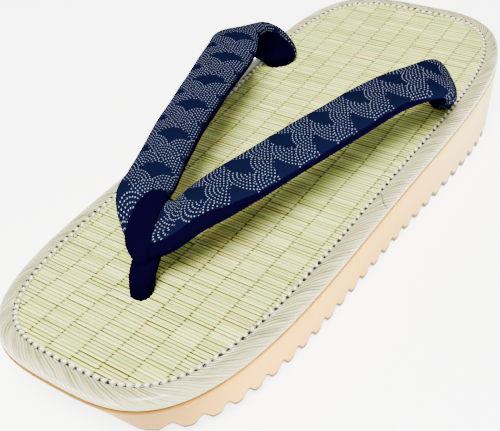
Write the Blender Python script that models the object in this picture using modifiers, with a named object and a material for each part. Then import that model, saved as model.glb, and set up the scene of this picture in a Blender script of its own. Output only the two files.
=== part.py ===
"""Zori sandal: ribbed wedge sole, bound rush mat, padded V strap and velvet toe post.

Metres, +Z up. The floor is z = 0, the toe points to -Y, and the shoe is symmetric about X = 0.
"""
import math

import bmesh
import bpy
from mathutils import Vector

# Plan of the mat and the sole
LENGTH = 0.265
WIDTH = 0.1076
TOE_SQUARENESS = 3.15
HEEL_SQUARENESS = 3.25
HEEL_SPREAD = 0.07
WAIST = 0.175
OUTLINE_POINTS = 80

# Heights of the mat's surface over the floor
MID_HEIGHT = 0.0267
HEEL_LIFT = 0.0167
TOE_CURL = 0.0054
HEEL_CURL = 0.0060
BEND_STEP = 0.010

# Underside of the sole
TOE_SPRING = 0.0072
SPRING_LENGTH = 0.0795
SPRING_POWER = 1.3
SOLE_DRAFT = 0.0023
TOE_UNDERCUT = 0.0040
UNDERCUT_POWER = 10
HEEL_FLARE = 0.0015
RIB_START = -0.0043
RIB_PITCH = 0.00878
RIB_CREEP = 0.000025
RIB_DEPTH = 0.0030
RIB_FLAT = 0.0018
FLANK_STEPS = 2

# Layers, from the mat's surface down
GAP = 0.0003
MAT_THICKNESS = 0.0030
TAPE = 0.0008
TAPE_COVER = 0.0068
TAPE_TUCK = 0.0052
TAPE_ROUND = 0.0017
ROUND_STEPS = 3

# Strap: where it starts, how high it stands over the mat and how far apart its roots are
TOE_TO_CROWN = 0.0533
HEEL_TO_ROOT = 0.0715
CROWN_Y = TOE_TO_CROWN - LENGTH / 2
ROOT_Y = LENGTH / 2 - HEEL_TO_ROOT
ROOT_X = 0.0398
STRAP_HEIGHT = 0.0262
STRAP_WIDTH = 0.0205
STRAP_THICKNESS = 0.0082
ROOT_WIDTH = 0.0130
ROOT_THICKNESS = 0.0090
ROOT_YAW = 45.0
SEAT_DEPTH = 0.0080
NECK_RISE = 0.0010
SECTION_POINTS = 20
SECTION_SQUARENESS = 2.5
ROW_STEPS = 3
LINING_SHARE = 0.50

# Toe post and the hood that wraps the crown
POST_AHEAD = 0.0103
POST_Y = CROWN_Y - POST_AHEAD
POST_WIDTH = 0.0092
POST_DEPTH = 0.0082
POST_SQUARENESS = 2.6
HOOD_WALL = 0.0016
HOOD_GAP = 0.0005
HOOD_AHEAD = 0.0078
HOOD_Y = CROWN_Y - HOOD_AHEAD
HOOD_WIDTH = 0.0104
HOOD_LENGTH = 0.0330
FOLD_STEP = 0.00001
FOLD_CUT = 0.00015
MERGE = 0.000005

# One row for each section of the strap, from the crown to the right-hand root.
# across: share of ROOT_X. along: share of the way from crown to root.
# rise: height over the mat as a share of STRAP_HEIGHT. wide, thick: shares of the strap's size.
# yaw, drop, lean: degrees that the section is turned, dipped at its outer edge and leant back.
STRAP_ROWS = (
    dict(across=0.000, along=0.000, rise=0.71, wide=1.09, thick=1.02, yaw=90, drop=31.5, lean=0),
    dict(across=0.108, along=0.016, rise=0.76, wide=0.92, thick=1.00, yaw=67.8, drop=23.9, lean=-5.2),
    dict(across=0.242, along=0.049, rise=0.93, wide=0.87, thick=1.01, yaw=30.6, drop=-1.6, lean=-6),
    dict(across=0.313, along=0.110, rise=0.97, wide=0.92, thick=1.01, yaw=11.9, drop=1.7, lean=-3.2),
    dict(across=0.512, along=0.285, rise=1.06, wide=0.93, thick=1.06, yaw=11.1, drop=6.4, lean=-2.8),
    dict(across=0.716, along=0.491, rise=1.08, wide=0.98, thick=1.06, yaw=16.6, drop=3.7, lean=-6.1),
    dict(across=0.936, along=0.706, rise=1.05, wide=1.05, thick=1.01, yaw=14, drop=0.5, lean=-3.6),
    dict(across=1.104, along=0.812, rise=0.97, wide=0.98, thick=0.96, yaw=14.6, drop=11.7, lean=12.4),
    dict(across=1.117, along=0.903, rise=0.73, wide=0.88, thick=0.89, yaw=30.4, drop=32.7, lean=40.4),
    dict(across=1.057, along=0.970, rise=0.41, wide=0.89, thick=0.97, yaw=39.7, drop=22.2, lean=62.8),
    dict(across=1.005, along=0.994, rise=0.16, wide=0.86, thick=1.27, yaw=46, drop=1, lean=86),
)

# One row for each section of the toe post, from its seat up into the hood.
# back: distance behind POST_Y. up: height over the mat. wide, deep: shares of the post's size.
POST_ROWS = (
    dict(back=-0.0005, up=-0.0080, wide=0.80, deep=0.94),
    dict(back=-0.0005, up=0.0000, wide=0.80, deep=0.94),
    dict(back=0.0004, up=0.0030, wide=0.94, deep=1.01),
    dict(back=0.0013, up=0.0070, wide=1.01, deep=1.02),
    dict(back=0.0039, up=0.0110, wide=1.06, deep=1.00),
    dict(back=0.0064, up=0.0145, wide=1.04, deep=0.95),
)

COLOURS = {
    "sole": (0.90, 0.76, 0.60),
    "rush_mat": (0.66, 0.67, 0.42),
    "edge_binding": (0.74, 0.73, 0.66),
    "strap_face": (0.020, 0.035, 0.120),
    "strap_underside": (0.008, 0.008, 0.045),
    "toe_post": (0.006, 0.006, 0.040),
}
ROUGHNESS = {
    "sole": 0.55,
    "rush_mat": 0.60,
    "edge_binding": 0.35,
    "strap_face": 0.75,
    "strap_underside": 0.95,
    "toe_post": 0.95,
}


def signed_power(value, power):
    """The power of a number's size, with the number's sign."""
    return math.copysign(abs(value) ** power, value)


def plan_point(turn):
    """A point of the mat's outer edge, for an angle from +X towards the heel."""
    cos, sin = math.cos(turn), math.sin(turn)
    squareness = HEEL_SQUARENESS if sin > 0 else TOE_SQUARENESS
    share = signed_power(sin, 2 / squareness)
    spread = 1 + HEEL_SPREAD * share + WAIST * (share * share - 1 / 3)
    x = signed_power(cos, 2 / squareness) * spread * WIDTH / 2
    return Vector((x, share * LENGTH / 2))


def plan(inset, undercut=0.0, flare=0.0):
    """The outline drawn in by a distance, more at the toe and less at the heel, from +X round."""
    step = 2 * math.pi / OUTLINE_POINTS
    nudge = step / 8
    points = []
    for count in range(OUTLINE_POINTS):
        turn = (count + 0.5) * step
        along = plan_point(turn + nudge) - plan_point(turn - nudge)
        inward = Vector((-along.y, along.x)).normalized()
        point = plan_point(turn)
        share = 2 * point.y / LENGTH
        more = undercut * max(0.0, -share) ** UNDERCUT_POWER
        less = flare * max(0.0, share) ** 2
        points.append(point + inward * (inset + more - less))
    return points


def surface(y):
    """Height of the mat's surface over the floor."""
    share = 2 * y / LENGTH
    curl = TOE_CURL if share < 0 else HEEL_CURL
    return MID_HEIGHT + HEEL_LIFT * share / 2 + curl * share * share


def rib_place(number):
    """The length at which a rib stands, for ribs that are set closer towards the toe."""
    return RIB_START + RIB_PITCH * number + RIB_CREEP * number * number


def rib_number(y):
    """The count of ribs at a length, with its fraction."""
    root = math.sqrt(RIB_PITCH * RIB_PITCH + 4 * RIB_CREEP * (y - RIB_START))
    return (root - RIB_PITCH) / (2 * RIB_CREEP)


def rib(y):
    """Height of the tread's wave over its ribs' flats."""
    phase = abs((rib_number(y) + 0.5) % 1 - 0.5) * RIB_PITCH
    flank = (RIB_PITCH - RIB_FLAT) / 2
    share = max(0.0, phase - RIB_FLAT / 2) / flank
    return RIB_DEPTH * (1 - math.cos(math.pi * share)) / 2


def underside(y):
    """Height of the sole's underside over the floor."""
    ahead = max(0.0, SPRING_LENGTH - LENGTH / 2 - y) / SPRING_LENGTH
    return TOE_SPRING * ahead ** SPRING_POWER + rib(y)


def rib_stations():
    """The lengths at which the tread's wave changes slope."""
    flank = (RIB_PITCH - RIB_FLAT) / 2
    marks = [RIB_FLAT / 2 + flank * step / FLANK_STEPS for step in range(FLANK_STEPS + 1)]
    reach = math.ceil(LENGTH / 2 / RIB_PITCH) + 1
    places = set()
    for count in range(-reach, reach):
        for mark in marks:
            places.add(round(rib_place(count - mark / RIB_PITCH), 6))
            places.add(round(rib_place(count + mark / RIB_PITCH), 6))
    return sorted(place for place in places if abs(place) < LENGTH / 2 - GAP)


def even_stations():
    """Evenly spaced lengths at which a flat plate is bent."""
    count = round(LENGTH / BEND_STEP)
    return [LENGTH * (step / count - 0.5) for step in range(1, count)]


def loft(rings, closed=False):
    """A skin over rings of equally many points, capped unless the run closes on itself."""
    shape = bmesh.new()
    rows = [[shape.verts.new(point) for point in ring] for ring in rings]
    if closed:
        pairs = zip(rows, rows[1:] + rows[:1])
    else:
        pairs = zip(rows, rows[1:])
        shape.faces.new(rows[0])
        shape.faces.new(rows[-1])
    for low, high in pairs:
        for count in range(len(low)):
            after = (count + 1) % len(low)
            shape.faces.new((low[count], low[after], high[after], high[count]))
    bmesh.ops.recalc_face_normals(shape, faces=shape.faces)
    return shape


def cut_across(shape, stations):
    """Add an edge loop at each length, so that a plate can be bent there."""
    for station in stations:
        everything = shape.verts[:] + shape.edges[:] + shape.faces[:]
        bmesh.ops.bisect_plane(shape, geom=everything, dist=1e-7,
                               plane_co=(0, station, 0), plane_no=(0, 1, 0))


def finish_mesh(name, shape, smooth_angle=40):
    """A linked object from a bmesh, with its material and shading."""
    bmesh.ops.triangulate(shape, faces=shape.faces)
    bmesh.ops.remove_doubles(shape, verts=shape.verts, dist=1e-6)
    bmesh.ops.recalc_face_normals(shape, faces=shape.faces)
    mesh = bpy.data.meshes.new(name)
    shape.to_mesh(mesh)
    shape.free()
    mesh.shade_smooth()
    mesh.set_sharp_from_angle(angle=math.radians(smooth_angle))
    thing = bpy.data.objects.new(name, mesh)
    (parts if name in COLOURS else cutters).objects.link(thing)
    if name in COLOURS:
        mesh.materials.append(material(name))
    else:
        thing.hide_render = True
        thing.display_type = "WIRE"
    return thing


def material(name):
    """The plain finish of one piece."""
    finish = bpy.data.materials.new(name)
    finish.use_nodes = True
    shader = finish.node_tree.nodes["Principled BSDF"]
    shader.inputs["Base Color"].default_value = (*COLOURS[name], 1)
    shader.inputs["Roughness"].default_value = ROUGHNESS[name]
    shader.inputs["Metallic"].default_value = 0
    finish.diffuse_color = (*COLOURS[name], 1)
    return finish


def boolean(thing, other, operation):
    """Join, cut or intersect one object with another by a live modifier."""
    step = thing.modifiers.new(other.name, "BOOLEAN")
    step.operation = operation
    step.object = other
    step.solver = "EXACT"
    step.use_self = True


def make_sole():
    """Wedge with a ribbed underside, a drafted wall and a ledge for the binding's tuck."""
    ledge = MAT_THICKNESS + TAPE + 2 * GAP
    seat = MAT_THICKNESS + GAP
    inner = TAPE_TUCK + GAP
    levels = (
        (SOLE_DRAFT, TOE_UNDERCUT, HEEL_FLARE, 0.0),
        (0.0, 0.0, 0.0, MID_HEIGHT - ledge),
        (inner, 0.0, 0.0, MID_HEIGHT - ledge),
        (inner, 0.0, 0.0, MID_HEIGHT - seat),
    )
    rings = [[(point.x, point.y, level) for point in plan(inset, undercut, flare)]
             for inset, undercut, flare, level in levels]
    shape = loft(rings)
    cut_across(shape, rib_stations())
    wall = MID_HEIGHT - ledge
    for corner in shape.verts:
        low = underside(corner.co.y)
        high = surface(corner.co.y) - ledge
        share = min(corner.co.z / wall, 1.0)
        step = max(corner.co.z - wall, 0.0)
        corner.co.z = low + (high - low) * share + step
    return finish_mesh("sole", shape)


def make_mat():
    """Flat rush panel, bent to the sole's top."""
    edge = TAPE + GAP
    rings = [[(point.x, point.y, level) for point in plan(edge)] for level in (-MAT_THICKNESS, 0)]
    shape = loft(rings)
    cut_across(shape, even_stations())
    for corner in shape.verts:
        corner.co.z += surface(corner.co.y)
    return finish_mesh("rush_mat", shape)


def channel_profile():
    """The binding's C section: distance in from the edge, and height over the mat."""
    top = GAP + TAPE
    bottom = -MAT_THICKNESS - GAP - TAPE
    outer = [(TAPE_COVER, GAP), (TAPE_COVER - TAPE / 2, top)]
    for height, turn_from in ((top - TAPE_ROUND, 0), (bottom + TAPE_ROUND, 90)):
        for step in range(ROUND_STEPS + 1):
            turn = math.radians(turn_from + 90 * step / ROUND_STEPS)
            outer.append((TAPE_ROUND * (1 - math.sin(turn)), height + TAPE_ROUND * math.cos(turn)))
    outer += [(TAPE_TUCK, bottom), (TAPE_TUCK, bottom + TAPE)]
    inner = [(TAPE, -MAT_THICKNESS - GAP), (TAPE, GAP)]
    return outer + inner


def make_binding():
    """Channel of tape swept round the mat's edge and bent with it."""
    rings_by_point = []
    for inset, height in channel_profile():
        rings_by_point.append([(p.x, p.y, surface(p.y) + height) for p in plan(inset)])
    rings = [list(section) for section in zip(*rings_by_point)]
    return finish_mesh("edge_binding", loft(rings, closed=True))


def strap_rows():
    """The strap's rows in metres and degrees, with the straight stretch into the mat."""
    rows = []
    for row in STRAP_ROWS:
        y = CROWN_Y + (ROOT_Y - CROWN_Y) * row["along"]
        z = surface(y) + STRAP_HEIGHT * row["rise"]
        size = (STRAP_WIDTH * row["wide"], STRAP_THICKNESS * row["thick"])
        rows.append((ROOT_X * row["across"], y, z, *size, row["yaw"], row["drop"], row["lean"]))
    for depth in (-NECK_RISE, SEAT_DEPTH):
        z = surface(ROOT_Y) - depth
        rows.append((ROOT_X, ROOT_Y, z, ROOT_WIDTH, ROOT_THICKNESS, ROOT_YAW, 0, 90))
    return rows


def smoothed(rows, steps):
    """Cubic run through rows of values, spaced by the distance between their places."""
    reach = [(Vector(b[:3]) - Vector(a[:3])).length for a, b in zip(rows, rows[1:])]
    slopes = [[(b - a) / span for a, b in zip(low, high)]
              for low, high, span in zip(rows, rows[1:], reach)]
    tangents = [slopes[0]]
    for before, after, span, beyond in zip(slopes, slopes[1:], reach, reach[1:]):
        weight = beyond / (span + beyond)
        tangents.append([a * weight + b * (1 - weight) for a, b in zip(before, after)])
    tangents.append(slopes[-1])
    run = []
    for count, span in enumerate(reach):
        for step in range(steps):
            t = step / steps
            ease = t * t * (3 - 2 * t)
            leave = t * (1 - t) ** 2 * span
            arrive = t * t * (t - 1) * span
            run.append([a + (b - a) * ease + leave * m + arrive * n for a, b, m, n in
                        zip(rows[count], rows[count + 1], tangents[count], tangents[count + 1])])
    run.append(list(rows[-1]))
    return run


def section_axes(row):
    """Unit vectors of a section: out to its outer edge, and up through its face."""
    yaw, drop, lean = (math.radians(angle) for angle in row[5:8])
    out = Vector((math.cos(yaw) * math.cos(drop), -math.sin(yaw) * math.cos(drop), -math.sin(drop)))
    rise = Vector((math.cos(yaw) * math.sin(drop), -math.sin(yaw) * math.sin(drop), math.cos(drop)))
    return out, rise * math.cos(lean) + rise.cross(out) * math.sin(lean)


def oval(turns, squareness=SECTION_SQUARENESS):
    """Points of a squared oval of unit half-size at the given angles."""
    power = 2 / squareness
    return [(signed_power(math.cos(turn), power), signed_power(math.sin(turn), power))
            for turn in turns]


def section_shape(layer):
    """A section's points as shares of its half-width and half-thickness."""
    if layer == "whole":
        return oval([2 * math.pi * step / SECTION_POINTS for step in range(SECTION_POINTS)])
    seam = 2 * LINING_SHARE - 1
    break_off = GAP / STRAP_THICKNESS
    level = seam + break_off if layer == "face" else seam - break_off
    start = math.asin(signed_power(level, SECTION_SQUARENESS / 2))
    if layer == "face":
        sweep = (start, math.pi - start)
    else:
        sweep = (math.pi - start, 2 * math.pi + start)
    count = SECTION_POINTS // 2 + 2 if layer == "face" else SECTION_POINTS // 2
    return oval([sweep[0] + (sweep[1] - sweep[0]) * step / count for step in range(count + 1)])


def strap_rings(layer="whole", grow=0.0, rows=None):
    """Rings of the strap from the left root over the crown to the right root."""
    shape = section_shape(layer)
    half = []
    for row in rows or smoothed(strap_rows(), ROW_STEPS):
        out, up = section_axes(row)
        centre = Vector(row[:3])
        half.append([centre + out * (u * (row[3] / 2 + grow)) + up * (v * (row[4] / 2 + grow))
                     for u, v in shape])
    for point in half[0]:
        point.x = 0.0
    left = [[Vector((-point.x, point.y, point.z)) for point in ring] for ring in half[:0:-1]]
    return left + half


def make_strap():
    """The padded V in printed cloth, and its velvet underside, along one seam."""
    face = finish_mesh("strap_face", loft(strap_rings("face")), 60)
    underside_piece = finish_mesh("strap_underside", loft(strap_rings("underside")), 60)
    return face, underside_piece


def post_rings(grow=0.0, rows=POST_ROWS):
    """Rings of the toe post, from its seat up."""
    shape = oval([2 * math.pi * step / SECTION_POINTS for step in range(SECTION_POINTS)],
                 POST_SQUARENESS)
    rings = []
    for row in rows:
        y = POST_Y + row["back"]
        z = surface(POST_Y) + row["up"]
        wide = POST_WIDTH * row["wide"] / 2 + grow
        deep = POST_DEPTH * row["deep"] / 2 + grow
        rings.append([Vector((u * wide, y + v * deep, z)) for u, v in shape])
    return rings


def sleeve(name, crown, grow, start):
    """The right half of the crown's skin, moved over so that the mirror cuts off its fold."""
    rings = strap_rings(grow=grow, rows=crown)[len(crown) - 1:]
    for count, ring in enumerate(rings):
        for point in ring:
            point.x = max(point.x, count * FOLD_STEP) - FOLD_CUT
    first = [point - Vector((start, 0, 0)) for point in rings[0]]
    return finish_mesh(name, loft([first] + rings))


def make_toe_post():
    """The post, and the hood that wraps the crown of the strap with a clearance."""
    crown = smoothed(strap_rows(), ROW_STEPS)[:3 * ROW_STEPS + 1]
    hood = sleeve("hood", crown, HOOD_WALL + HOOD_GAP, HOOD_WALL)
    room = sleeve("crown_room", crown, HOOD_GAP, 2 * HOOD_WALL)
    height = surface(CROWN_Y) + 2 * STRAP_HEIGHT
    turns = [2 * math.pi * step / SECTION_POINTS for step in range(SECTION_POINTS)]
    plan_oval = [(u * HOOD_WIDTH / 2, HOOD_Y + v * HOOD_LENGTH / 2) for u, v in oval(turns)]
    limit = finish_mesh("hood_limit", loft([[(x, y, z) for x, y in plan_oval] for z in (0, height)]))
    post = finish_mesh("toe_post", loft(post_rings()))
    boolean(hood, limit, "INTERSECT")
    boolean(post, hood, "UNION")
    boolean(post, room, "DIFFERENCE")
    whole = post.modifiers.new("both_halves", "MIRROR")
    whole.use_axis = (True, False, False)
    whole.use_bisect_axis = (True, False, False)
    whole.bisect_threshold = MERGE
    whole.merge_threshold = MERGE
    return post


def cut_seats(mat, sole):
    """Holes for the strap's roots and the toe post, through the mat and into the sole."""
    above = 2 * MAT_THICKNESS
    root = strap_rows()[-1]
    for side, name in ((1, "right_hole"), (-1, "left_hole")):
        rings = []
        for level in (surface(ROOT_Y) - SEAT_DEPTH - GAP, surface(ROOT_Y) + above):
            row = (*root[:2], level, *root[3:])
            out, up = section_axes(row)
            ring = [Vector(row[:3]) + out * (u * (row[3] / 2 + GAP)) + up * (v * (row[4] / 2 + GAP))
                    for u, v in section_shape("whole")]
            rings.append([Vector((side * point.x, point.y, point.z)) for point in ring])
        hole = finish_mesh(name, loft(rings))
        boolean(mat, hole, "DIFFERENCE")
        boolean(sole, hole, "DIFFERENCE")
    low, high = dict(POST_ROWS[0]), dict(POST_ROWS[0])
    low["up"] -= GAP
    high["up"] = above
    hole = finish_mesh("toe_hole", loft(post_rings(grow=GAP, rows=(low, high))))
    boolean(mat, hole, "DIFFERENCE")
    boolean(sole, hole, "DIFFERENCE")


for old in list(bpy.data.objects):
    bpy.data.objects.remove(old, do_unlink=True)

parts = bpy.data.collections.new("zori_sandal")
cutters = bpy.data.collections.new("zori_cutters")
for group in (parts, cutters):
    bpy.context.scene.collection.children.link(group)

sole_piece = make_sole()
mat_piece = make_mat()
make_binding()
make_strap()
make_toe_post()
cut_seats(mat_piece, sole_piece)
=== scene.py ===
"""Zori sandal: the looks of its ribbed foam sole, rush footbed, sewn tape and printed straps.

Metres, +Z up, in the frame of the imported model: the floor is z = 0, the toe points to -Y, and the
shoe is symmetric about X = 0.
"""
import math
import random

import bmesh
import bpy
from bpy.props import FloatProperty, FloatVectorProperty, IntProperty, PointerProperty
from mathutils import Matrix, Vector, noise


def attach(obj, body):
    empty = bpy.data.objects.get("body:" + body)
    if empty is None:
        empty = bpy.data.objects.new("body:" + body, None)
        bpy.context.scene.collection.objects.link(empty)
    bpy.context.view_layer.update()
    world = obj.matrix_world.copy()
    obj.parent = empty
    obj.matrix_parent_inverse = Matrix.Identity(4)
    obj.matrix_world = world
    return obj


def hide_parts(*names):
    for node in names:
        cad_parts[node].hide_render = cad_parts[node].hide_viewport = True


bl_info = {
    "name": "Zori sandal looks",
    "version": (1, 0, 0),
    "blender": (4, 5, 0),
    "location": "View3D > Sidebar > Zori",
    "description": "Builds the sole, rush footbed, tape, straps and toe post over the packed model",
    "category": "Object",
}

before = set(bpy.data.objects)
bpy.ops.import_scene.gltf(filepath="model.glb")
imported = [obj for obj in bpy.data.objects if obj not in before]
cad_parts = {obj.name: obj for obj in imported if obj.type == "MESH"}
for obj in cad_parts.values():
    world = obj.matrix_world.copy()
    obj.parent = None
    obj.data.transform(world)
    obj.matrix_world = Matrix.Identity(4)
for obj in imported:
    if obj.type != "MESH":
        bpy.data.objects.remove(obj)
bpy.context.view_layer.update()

MM = 0.001

# Plan of the footbed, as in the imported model
LENGTH = 0.265
WIDTH = 0.1076
TOE_SQUARENESS = 3.15
HEEL_SQUARENESS = 3.25
HEEL_SPREAD = 0.07
WAIST = 0.175

# Heights of the footbed's surface over the floor
MID_HEIGHT = 0.0267
HEEL_LIFT = 0.0167
TOE_CURL = 0.0054
HEEL_CURL = 0.0060

# Underside of the sole
TOE_SPRING = 0.0072
SPRING_LENGTH = 0.0795
SPRING_POWER = 1.3
SOLE_DRAFT = 0.0023
TOE_UNDERCUT = 0.0040
UNDERCUT_POWER = 10
HEEL_FLARE = 0.0015
RIB_START = -0.0043
RIB_PITCH = 0.00878
RIB_CREEP = 0.000025
RIB_DEPTH = 0.0030
RIB_FLAT = 0.0018
STATIONS_PER_RIB = 10
END_STATIONS = 14
WALL_LEVELS = (0, 0.11, 0.22, 0.36, 0.55, 0.78, 1)

# Layers of the footbed and its tape
MAT_THICKNESS = 0.0030
TAPE = 0.0008
GAP = 0.0003
TAPE_STEPS = 520

# Strap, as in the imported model
CROWN_Y = -0.0792
ROOT_Y = 0.0610
ROOT_X = 0.0398
STRAP_HEIGHT = 0.0262
STRAP_WIDTH = 0.0205
STRAP_THICKNESS = 0.0082
ROOT_WIDTH = 0.0130
ROOT_THICKNESS = 0.0090
ROOT_YAW = 45.0
SEAT_DEPTH = 0.0080
NECK_RISE = 0.0010
SECTION_SQUARENESS = 2.5
LINING_SHARE = 0.50
STRAP_STEPS = 8
FACE_POINTS = 26
LINING_POINTS = 16
PATTERN_START = -36.0

# Toe post and the hood that wraps the crown
POST_Y = -0.0895
POST_WIDTH = 0.0092
POST_DEPTH = 0.0082
POST_SQUARENESS = 2.2
HOOD_STEPS = 24
HOOD_ROWS = 3
HOOD_POINTS = 64

# Camera, from the photograph's perspective
FRAME_SIZE = (500, 431)
SENSOR = 36.0

# One row for each section of the strap, from the crown to the right-hand root.
# across: share of ROOT_X. along: share of the way from crown to root.
# rise: height over the mat as a share of STRAP_HEIGHT. wide, thick: shares of the strap's size.
# yaw, drop, lean: degrees that the section is turned, dipped at its outer edge and leant back.
STRAP_ROWS = (
    dict(across=0.000, along=0.000, rise=0.71, wide=1.09, thick=1.02, yaw=90, drop=31.5, lean=0),
    dict(across=0.108, along=0.016, rise=0.76, wide=0.92, thick=1.00, yaw=67.8, drop=23.9, lean=-5.2),
    dict(across=0.242, along=0.049, rise=0.93, wide=0.87, thick=1.01, yaw=30.6, drop=-1.6, lean=-6),
    dict(across=0.313, along=0.110, rise=0.97, wide=0.92, thick=1.01, yaw=11.9, drop=1.7, lean=-3.2),
    dict(across=0.512, along=0.285, rise=1.06, wide=0.93, thick=1.06, yaw=11.1, drop=6.4, lean=-2.8),
    dict(across=0.716, along=0.491, rise=1.08, wide=0.98, thick=1.06, yaw=16.6, drop=3.7, lean=-6.1),
    dict(across=0.936, along=0.706, rise=1.05, wide=1.05, thick=1.01, yaw=14, drop=0.5, lean=-3.6),
    dict(across=1.104, along=0.812, rise=0.97, wide=0.98, thick=0.96, yaw=14.6, drop=11.7, lean=12.4),
    dict(across=1.117, along=0.903, rise=0.73, wide=0.88, thick=0.89, yaw=30.4, drop=32.7, lean=40.4),
    dict(across=1.057, along=0.970, rise=0.41, wide=0.89, thick=0.97, yaw=39.7, drop=22.2, lean=62.8),
    dict(across=1.005, along=0.994, rise=0.16, wide=0.86, thick=1.27, yaw=46, drop=1, lean=86),
)

# One row for each section of the toe post, from its seat up into the hood.
# back: distance behind POST_Y. up: height over the mat. wide, deep: shares of the post's size.
POST_ROWS = (
    dict(back=-0.0005, up=-0.0030, wide=0.80, deep=0.94),
    dict(back=-0.0005, up=0.0000, wide=0.80, deep=0.94),
    dict(back=0.0004, up=0.0030, wide=0.94, deep=1.01),
    dict(back=0.0013, up=0.0070, wide=1.01, deep=1.02),
    dict(back=0.0039, up=0.0110, wide=1.06, deep=1.00),
    dict(back=0.0064, up=0.0145, wide=1.04, deep=0.95),
)


# Shapes


def signed_power(value, power):
    """The power of a number's size, with the number's sign."""
    return math.copysign(abs(value) ** power, value)


def surface(y):
    """Height of the footbed's surface over the floor."""
    share = 2 * y / LENGTH
    curl = TOE_CURL if share < 0 else HEEL_CURL
    return MID_HEIGHT + HEEL_LIFT * share / 2 + curl * share * share


def plan_point(turn):
    """A point of the footbed's outer edge, for an angle from +X towards the heel."""
    cos, sin = math.cos(turn), math.sin(turn)
    squareness = HEEL_SQUARENESS if sin > 0 else TOE_SQUARENESS
    share = signed_power(sin, 2 / squareness)
    spread = 1 + HEEL_SPREAD * share + WAIST * (share * share - 1 / 3)
    return Vector((signed_power(cos, 2 / squareness) * spread * WIDTH / 2, share * LENGTH / 2))


def half_width(share):
    """Half of the footbed's width, at a share of the way from the middle to an end."""
    squareness = HEEL_SQUARENESS if share > 0 else TOE_SQUARENESS
    rest = max(0.0, 1 - abs(share) ** squareness)
    spread = 1 + HEEL_SPREAD * share + WAIST * (share * share - 1 / 3)
    return rest ** (1 / squareness) * spread * WIDTH / 2


def edge_run(steps):
    """Points of the footbed's edge with their inward directions and their distance along it."""
    nudge = math.pi / steps / 4
    run, travelled, before = [], 0.0, None
    for count in range(steps + 1):
        turn = 2 * math.pi * (count + 0.5) / steps
        point = plan_point(turn)
        along = plan_point(turn + nudge) - plan_point(turn - nudge)
        inward = Vector((-along.y, along.x)).normalized()
        if before is not None:
            travelled += (point - before).length
        before = point
        run.append((point, inward, travelled))
    return run


def rib(y):
    """Height of the tread's wave over its ribs' flats, for ribs set closer towards the toe."""
    root = math.sqrt(RIB_PITCH * RIB_PITCH + 4 * RIB_CREEP * (y - RIB_START))
    number = (root - RIB_PITCH) / (2 * RIB_CREEP)
    phase = abs((number + 0.5) % 1 - 0.5) * RIB_PITCH
    share = max(0.0, phase - RIB_FLAT / 2) / ((RIB_PITCH - RIB_FLAT) / 2)
    return RIB_DEPTH * (1 - math.cos(math.pi * share)) / 2


def underside(y):
    """Height of the sole's underside over the floor."""
    ahead = max(0.0, SPRING_LENGTH - LENGTH / 2 - y) / SPRING_LENGTH
    return TOE_SPRING * ahead ** SPRING_POWER + rib(y)


def grid_bent(shape, along, around, place, chart=None):
    """A grid in place by its counts, with its own map where a chart gives one."""
    made = bmesh.ops.create_grid(shape, x_segments=along, y_segments=around, size=1)["verts"]
    where = {}
    for vert in made:
        where[vert] = (round((vert.co.x + 1) / 2 * along), round((vert.co.y + 1) / 2 * around))
    if chart:
        layer = shape.loops.layers.uv.verify()
        faces = {face for vert in made for face in vert.link_faces}
        for face in faces:
            middle = sum((where[loop.vert][0] for loop in face.loops)) / len(face.loops)
            for loop in face.loops:
                loop[layer].uv = chart(*where[loop.vert], middle)
    for vert in made:
        vert.co = place(*where[vert])
    return made


def close_up(shape):
    """Merge the seams, cap the open ends and point every face outwards."""
    bmesh.ops.remove_doubles(shape, verts=shape.verts, dist=1e-6)
    ends = [edge for edge in shape.edges if edge.is_boundary]
    if ends:
        bmesh.ops.holes_fill(shape, edges=ends, sides=0)
    bmesh.ops.recalc_face_normals(shape, faces=shape.faces)


def finish_piece(name, shape, finish, slot, sharp=50):
    """A linked object from a bmesh, riding on the sandal."""
    mesh = bpy.data.meshes.new(name)
    shape.to_mesh(mesh)
    shape.free()
    mesh.shade_smooth()
    mesh.set_sharp_from_angle(angle=math.radians(sharp))
    mesh.materials.append(finish)
    thing = bpy.data.objects.new(name, mesh)
    bpy.context.scene.collection.objects.link(thing)
    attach(thing, "root")
    return thing


def strap_rows():
    """The strap's rows in metres and degrees, with the straight stretch into the mat."""
    rows = []
    for row in STRAP_ROWS:
        y = CROWN_Y + (ROOT_Y - CROWN_Y) * row["along"]
        z = surface(y) + STRAP_HEIGHT * row["rise"]
        size = (STRAP_WIDTH * row["wide"], STRAP_THICKNESS * row["thick"])
        rows.append((ROOT_X * row["across"], y, z, *size, row["yaw"], row["drop"], row["lean"]))
    for depth in (-NECK_RISE, SEAT_DEPTH):
        z = surface(ROOT_Y) - depth
        rows.append((ROOT_X, ROOT_Y, z, ROOT_WIDTH, ROOT_THICKNESS, ROOT_YAW, 0, 90))
    return rows


def smoothed(rows, steps):
    """Cubic run through rows of values, spaced by the distance between their places."""
    reach = [(Vector(b[:3]) - Vector(a[:3])).length for a, b in zip(rows, rows[1:])]
    slopes = [[(b - a) / span for a, b in zip(low, high)]
              for low, high, span in zip(rows, rows[1:], reach)]
    tangents = [slopes[0]]
    for before, after, span, beyond in zip(slopes, slopes[1:], reach, reach[1:]):
        weight = beyond / (span + beyond)
        tangents.append([a * weight + b * (1 - weight) for a, b in zip(before, after)])
    tangents.append(slopes[-1])
    run = []
    for count, span in enumerate(reach):
        for step in range(steps):
            t = step / steps
            ease = t * t * (3 - 2 * t)
            leave = t * (1 - t) ** 2 * span
            arrive = t * t * (t - 1) * span
            run.append([a + (b - a) * ease + leave * m + arrive * n for a, b, m, n in
                        zip(rows[count], rows[count + 1], tangents[count], tangents[count + 1])])
    run.append(list(rows[-1]))
    return run


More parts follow.
